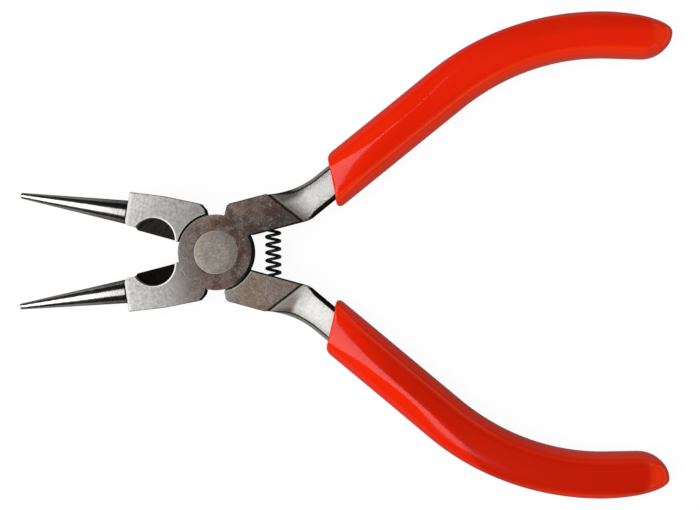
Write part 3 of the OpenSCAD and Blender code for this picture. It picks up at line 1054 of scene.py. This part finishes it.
def forging_steel(name, tones):
    """Material of one forging, with its turned and polished nose."""
    m = ForgingSteel(name, tones)
    on_face, face = joint_face(m)
    wall, oxide = black_walls(m)
    bevel, bevel_colour = shank_bevels(m)
    # Painted highlight on the recess rims, painted shade in their floors
    (rim_highlight, bright), (recess, black) = recesses(m)

    # Nose: fine lines along it, a duller root with broken rings round it, and painted shade in the
    # groove at its root
    along = m.along(m.where, (-JAW_L, -NOSE_Y), 180 - NOSE_SLOPE)
    rings = m.noise(m.where, 1.0, 3, 0.65, (0.26, 2.2, 2.2), NOSE_SLOPE)
    lines = m.noise(m.where, 1.0, 3, 0.65, (5, 0.22, 0.22), NOSE_SLOPE)
    at_root = m.step(9, 1, along)
    on_nose = m.step(0.02, 0.1, along)
    polish = m.mix(at_root, (0.66, 0.615, 0.58), (0.405, 0.398, 0.392))
    polish = m.coats(
        m.tint(polish, m.blend(lines, 0.5, 1.5)),
        (m.times(at_root, m.step(0.34, 0.66, rings), 0.65), (0.19, 0.183, 0.178)),
        # painted shade in the groove at the nose's root
        (m.step(0.5, 0.12, along), (0.03, 0.024, 0.02)))
    # Painted highlight on the jaw's front edge
    front_edge_highlight = m.times(m.step(-1.0, -0.1, along), 0.7)

    colour = m.coats(
        satin(m), (on_face, face), hollow_rim(m), frosted_shank(m), face_line(m), (wall, oxide),
        (bevel, bevel_colour), (rim_highlight, bright), (recess, black), (front_edge_highlight, (0.74, 0.735, 0.72)),
        (on_nose, polish))
    rough = m.blend(on_face, 0.50, 0.45)
    rough = m.blend(m.on_shank, rough, 0.55)
    rough = m.blend(m.most(recess, wall, bevel), rough, 0.8)
    rough = m.blend(on_nose, rough, m.blend(lines, 0.04, 0.34))
    metal = m.blend(m.times(m.on_shank, m.step(-0.1, -0.2, m.rim)), 0.85, 0.25)
    rounded = m.times(m.step(0.99, 0.9, m.flat), m.step(-14.5, -16.5, m.x))
    metal = m.blend(m.most(rounded, rim_highlight), metal, 0.2)
    m.set(Base_Color=colour, Roughness=rough, Metallic=m.blend(on_nose, metal, 1.0),
          Specular_Tint=(0.35, 0.35, 0.35))
    height = m.math("ADD", m.times(m.grain, 0.6), m.times(m.dust, 0.4))
    height = m.math("SUBTRACT", height, m.times(m.scratches, on_face))
    height = m.blend(on_nose, height, m.blend(at_root, lines, rings))
    m.bump(height, 0.4, 0.00003)
    return m.material


def rivet_steel():
    """Ground steel with bright specks and a rubbed rim."""
    m = Shader("rivet_steel")
    where = m.place()
    grain = m.noise(where, 2.4, 4, 0.8)
    cloud = m.noise(where, 0.55, 2, 0.6)
    colour = m.mix(m.step(0.35, 0.65, cloud), (0.303, 0.252, 0.214), (0.322, 0.298, 0.272))
    specks = m.times(m.step(0.68, 0.76, m.noise(where, 1.7, 1)), 0.5)
    rubbed = m.step(RIVET_D / 2 - 0.3, RIVET_D / 2 - 0.12, m.from_axis(where))
    colour = m.coats(
        m.tint(colour, m.blend(grain, 0.1, 1.9)),
        (specks, (0.52, 0.51, 0.49)),
        (m.times(rubbed, 0.4), (0.46, 0.43, 0.40)))
    m.set(Base_Color=colour, Metallic=0.8, Roughness=0.5)
    m.bump(grain, 0.3, 0.00002)
    return m.material


def vinyl_red():
    """Dipped vinyl: glossy, brighter and paler where no steel lies under it, with painted light on
    its flanks and painted shade on parts of its top.
    """
    m = Shader("vinyl_red")
    where = m.place()
    cloud = m.noise(where, 0.12, 2, 0.5)
    colour = m.mix(cloud, (0.79, 0.0130, 0.0002), (0.87, 0.0165, 0.0004))
    colour = m.coats(
        # Painted shade from the darkening field
        m.tint(colour, m.blend(m.attribute("painted_shade"), 1.0, 0.69)),
        # Painted light on the outer and inner flanks
        (m.attribute("outer_flank_light"), (0.92, 0.020, 0.0005)),
        (m.attribute("inner_flank_light"), (1.0, 0.034, 0.002)),
        (m.times(m.attribute("bare"), 0.8), (0.90, 0.032, 0.003)))
    m.set(Base_Color=colour, Roughness=m.blend(m.attribute("back"), 0.11, 0.15),
          Specular_IOR_Level=0.4)
    pimples = m.times(m.spots(where, 0.5, 0.09), 0.5)
    waves = m.noise(where, 0.25, 1, 0.5)
    m.bump(m.math("ADD", pimples, waves), 0.35, 0.00004)
    return m.material


def spring_black():
    """Blackened spring wire."""
    m = Shader("spring_black")
    grain = m.noise(m.place(), 4, 2, 0.6)
    colour = m.mix(grain, (0.010, 0.010, 0.011), (0.030, 0.029, 0.030))
    m.set(Base_Color=colour, Metallic=0.6, Roughness=0.38)
    m.bump(grain, 0.2, 0.00001)
    return m.material


def backdrop_share(nodes, in_metal):
    """How much of the white backdrop a ray sees: all for the camera, a share in metal."""
    ray = nodes.node("LightPath").outputs
    metal = nodes.times(ray["Is Glossy Ray"], in_metal)
    share = nodes.most(metal, ray["Is Camera Ray"], ray["Is Transmission Ray"])
    return share, ray["Is Diffuse Ray"]


def floor_paper():
    """Pale paper that the camera sees as white, with a faint shadow."""
    m = Shader("floor_paper")
    grain = m.noise(m.node("TexCoord").outputs["Object"], 400, 2)
    m.set(Base_Color=m.mix(grain, (0.17, 0.17, 0.17), (0.19, 0.19, 0.19)), Roughness=0.9,
          Specular_IOR_Level=0)
    glow = m.node("Emission", Color=(1, 1, 1, 1), Strength=FLOOR_GLOW)
    shade = m.node("BsdfDiffuse", Color=(FLOOR_SHADE, FLOOR_SHADE, FLOOR_SHADE, 1))
    both = m.node("AddShader")
    m.put(both.inputs[0], glow.outputs[0])
    m.put(both.inputs[1], shade.outputs[0])
    seen = m.node("MixShader", Fac=backdrop_share(m, FLOOR_IN_METAL)[0])
    m.put(seen.inputs[1], m.bsdf.outputs[0])
    m.put(seen.inputs[2], both.outputs[0])
    m.put(m.tree.nodes["Material Output"].inputs["Surface"], seen.outputs[0])
    return m.material


# -------- pieces
def build_halves():
    """Both halves of one forging, and the rest of their tangs, hidden in the grips."""
    mesh, p, normals = solid_mesh("forging", forging, *FORGING_BOX, FORGING_CELL, 0.3)
    plan, top, bevel = shank_faces(*p.T)
    for left, side, tones in ((True, "left", LEFT_TONES), (False, "right", RIGHT_TONES)):
        steel = forging_steel("steel_" + side, tones)
        data = mesh.copy()
        data.name = side + "_forging"
        dress(data, p, normals, left)
        add_field(data, "rim", plan - top + bevel)
        add_object(side + "_forging", data, steel, side + "_lever",
                   side + "_half")
        bar = bpy.data.meshes.new(side + "_tang")
        points, faces = tang_bar()
        bar.from_pydata(points.tolist(), [], faces)
        put_in_place(bar, points, left)
        add_field(bar, "rim", np.full(len(points), -1))
        add_object(side + "_tang", bar, steel, side + "_lever")
    bpy.data.meshes.remove(mesh)


def build_grips():
    """Both grips, with the fields that tell their material where the vinyl is lit through, where
    light is painted on its flanks and where shade is painted on it.
    """
    mesh, p, normals = solid_mesh("grip", grip, *GRIP_BOX, GRIP_CELL, 0.5)
    s, t = path_axes(p[:, 0], p[:, 1])
    bare = smoothstep(-0.3, 0.7, past_bar(s, t)) * smoothstep(38, 58, s)
    back = smoothstep(14, 38, s)
    # Painted light on the outer flank, fading towards the tail
    outer = smoothstep(0.5, 2.2, t - 1.5 * back) * (1 - 0.9 * smoothstep(8, 34, s))
    # Painted light on the inner flank
    inner = 0.95 * smoothstep(1.9, 2.7, -t)
    beside_ridge = smoothstep(-1.4, -0.2, 6.5 * smoothstep(26, 48, s) - t)
    # Painted shade on the left grip's top, growing towards the tail
    painted_shade = smoothstep(-2, 20, s) * beside_ridge
    # Painted shade on the right grip's outer tail
    outer_tail_shade = 0.5 * smoothstep(30, 48, s) * smoothstep(0, 2, t)
    red = vinyl_red()
    for left, side in ((True, "left"), (False, "right")):
        data = mesh.copy()
        data.name = side + "_sleeve"
        dress(data, p, normals, left)
        add_field(data, "bare", bare)
        add_field(data, "back", back)
        add_field(data, "outer_flank_light", outer)
        # The left grip gets less painted light on its inner flank
        add_field(data, "inner_flank_light", inner * (0.4 if left else 1))
        # Each grip gets its own painted shade
        add_field(data, "painted_shade", painted_shade if left else outer_tail_shade)
        add_object(side + "_sleeve", data, red, side + "_lever", side + "_grip")
    bpy.data.meshes.remove(mesh)


def build_rivet():
    """Flush rivet: both faces are a hair crowned, with a fine bevel round the rim."""
    r, h = (RIVET_D + RIVET_CLEAR) / 2, JOINT_T / 2
    neck, cone = HOLE_R - RIVET_CLEAR, h - RIVET_CONE_H
    crown, rim = 0.012, 0.07
    half = [(0, h), (r / 2, h - crown / 4), (r - rim, h - crown)]
    half += [(r - rim + rim * unit(90 - a)[0], h - crown - rim + rim * unit(90 - a)[1])
             for a in (30, 60, 90)]
    half += [(neck, cone)]
    profile = half + [(a, -b) for a, b in reversed(half)]
    turns = 128
    points, rings, faces = [], [], []
    for radius, height in profile:
        count = turns if radius else 1
        rings.append(range(len(points), len(points) + count))
        angles = 2 * math.pi * np.arange(count) / turns
        points += [(radius * math.cos(a), radius * math.sin(a), height) for a in angles]
    for a, b in zip(rings, rings[1:]):
        for k in range(turns):
            k1 = k + 1
            corners = (a[k % len(a)], b[k % len(b)], b[k1 % len(b)], a[k1 % len(a)])
            faces.append(tuple(dict.fromkeys(corners)))
    mesh = bpy.data.meshes.new("rivet")
    mesh.from_pydata(points, [], faces)
    put_in_place(mesh, np.array(points), False)
    shade_smooth(mesh)
    mesh.set_sharp_from_angle(angle=math.radians(25))
    add_object("rivet", mesh, rivet_steel(), "left_lever", "pivot_rivet")


def build_spring():
    """Open coil with one closed turn at each end."""
    length = 2 * (SEAT_END_Y - SPRING_CLEAR)
    turns = OPEN_TURNS + 2 * END_TURNS
    pitch = (length - 2 * WIRE_R * (1 + 2 * END_TURNS)) / OPEN_TURNS
    per_turn, sides = 40, 12
    count = turns * per_turn
    points, share = [], []
    for i in range(count + 1):
        t = i / per_turn
        rise = 2 * WIRE_R * min(t, END_TURNS) + pitch * min(max(t - END_TURNS, 0), OPEN_TURNS) \
            + 2 * WIRE_R * max(t - END_TURNS - OPEN_TURNS, 0)
        a = 2 * math.pi * (t + 0.5)
        centre_y = rise + WIRE_R - length / 2
        centre_x = SPRING_X - SPRING_SHIFT - SPRING_LEAN * centre_y / length
        shrink = min(1, 0.35 + 0.65 * min(i, count - i) / 3)
        for k in range(sides):
            b = 2 * math.pi * k / sides
            r = SPRING_R + shrink * WIRE_R * math.cos(b)
            points.append((centre_x + r * math.cos(a), centre_y + shrink * WIRE_R * math.sin(b),
                           MID_Z - r * math.sin(a)))
            share.append(centre_y)
    faces = [face[::-1] for face in tube_faces(count + 1, sides)]
    points = np.array(points)
    mesh = bpy.data.meshes.new("spring")
    mesh.from_pydata((points * MM).tolist(), [], faces)
    keep_place(mesh, points)
    shade_smooth(mesh)
    spring = add_object("spring", mesh, spring_black(), node="return_spring")
    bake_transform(spring)


# -------- scene
def add_camera():
    """Straight above the middle of the pliers, with a long lens."""
    data = bpy.data.cameras.new("camera")
    data.sensor_width = 36
    data.lens = LENS
    camera = new_object("camera", data)
    camera.location = CAMERA_PLACE
    camera.rotation_euler = (0, 0, math.radians(CAMERA_ROLL))
    bpy.context.scene.camera = camera


def add_lamp(name, direction, aim, distance, size, size_y, radiance):
    """Rectangular lamp that stands off in a direction and shines at a point."""
    data = bpy.data.lights.new(name, "AREA")
    data.shape = "RECTANGLE"
    data.size, data.size_y = size, size_y
    data.energy = radiance * math.pi * size * size_y
    lamp = new_object(name, data)
    away = Vector(direction).normalized()
    lamp.location = aim + away * distance
    lamp.rotation_euler = away.to_track_quat("Z", "Y").to_euler()


def add_light():
    """Softbox up on the left, in a white tent that hardly shows in reflections."""
    middle = (Vector(cad_bounds[0]) + Vector(cad_bounds[1])) / 2
    add_lamp("key_softbox", (-0.66, -0.12, 0.76), middle, distance=0.75, size=0.82, size_y=0.98,
             radiance=KEY_RADIANCE)
    add_lamp("side_card", (0.85, 0, 0.42), middle, distance=0.8, size=2.0, size_y=0.5,
             radiance=CARD_RADIANCE)
    world = bpy.data.worlds.new("studio")
    bpy.context.scene.world = world
    world.use_nodes = True
    sky = Nodes(world.node_tree)
    share, diffuse = backdrop_share(sky, BACKDROP_IN_METAL)
    around = sky.blend(diffuse, ROOM_LEVEL, TENT_LEVEL)
    back = world.node_tree.nodes["Background"].inputs
    sky.put(back["Strength"], sky.blend(share, around, 1))
    sky.put(back["Color"], (1, 1, 1, 1))


def add_floor():
    """Sheet of paper just below the pliers."""
    mesh = bpy.data.meshes.new("floor")
    corners = [(x * FLOOR_REACH, y * FLOOR_REACH, 0) for x, y in ((-1, -1), (1, -1), (1, 1), (-1, 1))]
    mesh.from_pydata(corners, [], [(0, 1, 2, 3)])
    floor = new_object("floor", mesh)
    floor.location.z = -FLOOR_BELOW
    mesh.materials.append(floor_paper())


add_camera()
build_halves()
build_grips()
build_rivet()
build_spring()
add_light()
add_floor()
bpy.context.scene.view_settings.view_transform = "Standard"
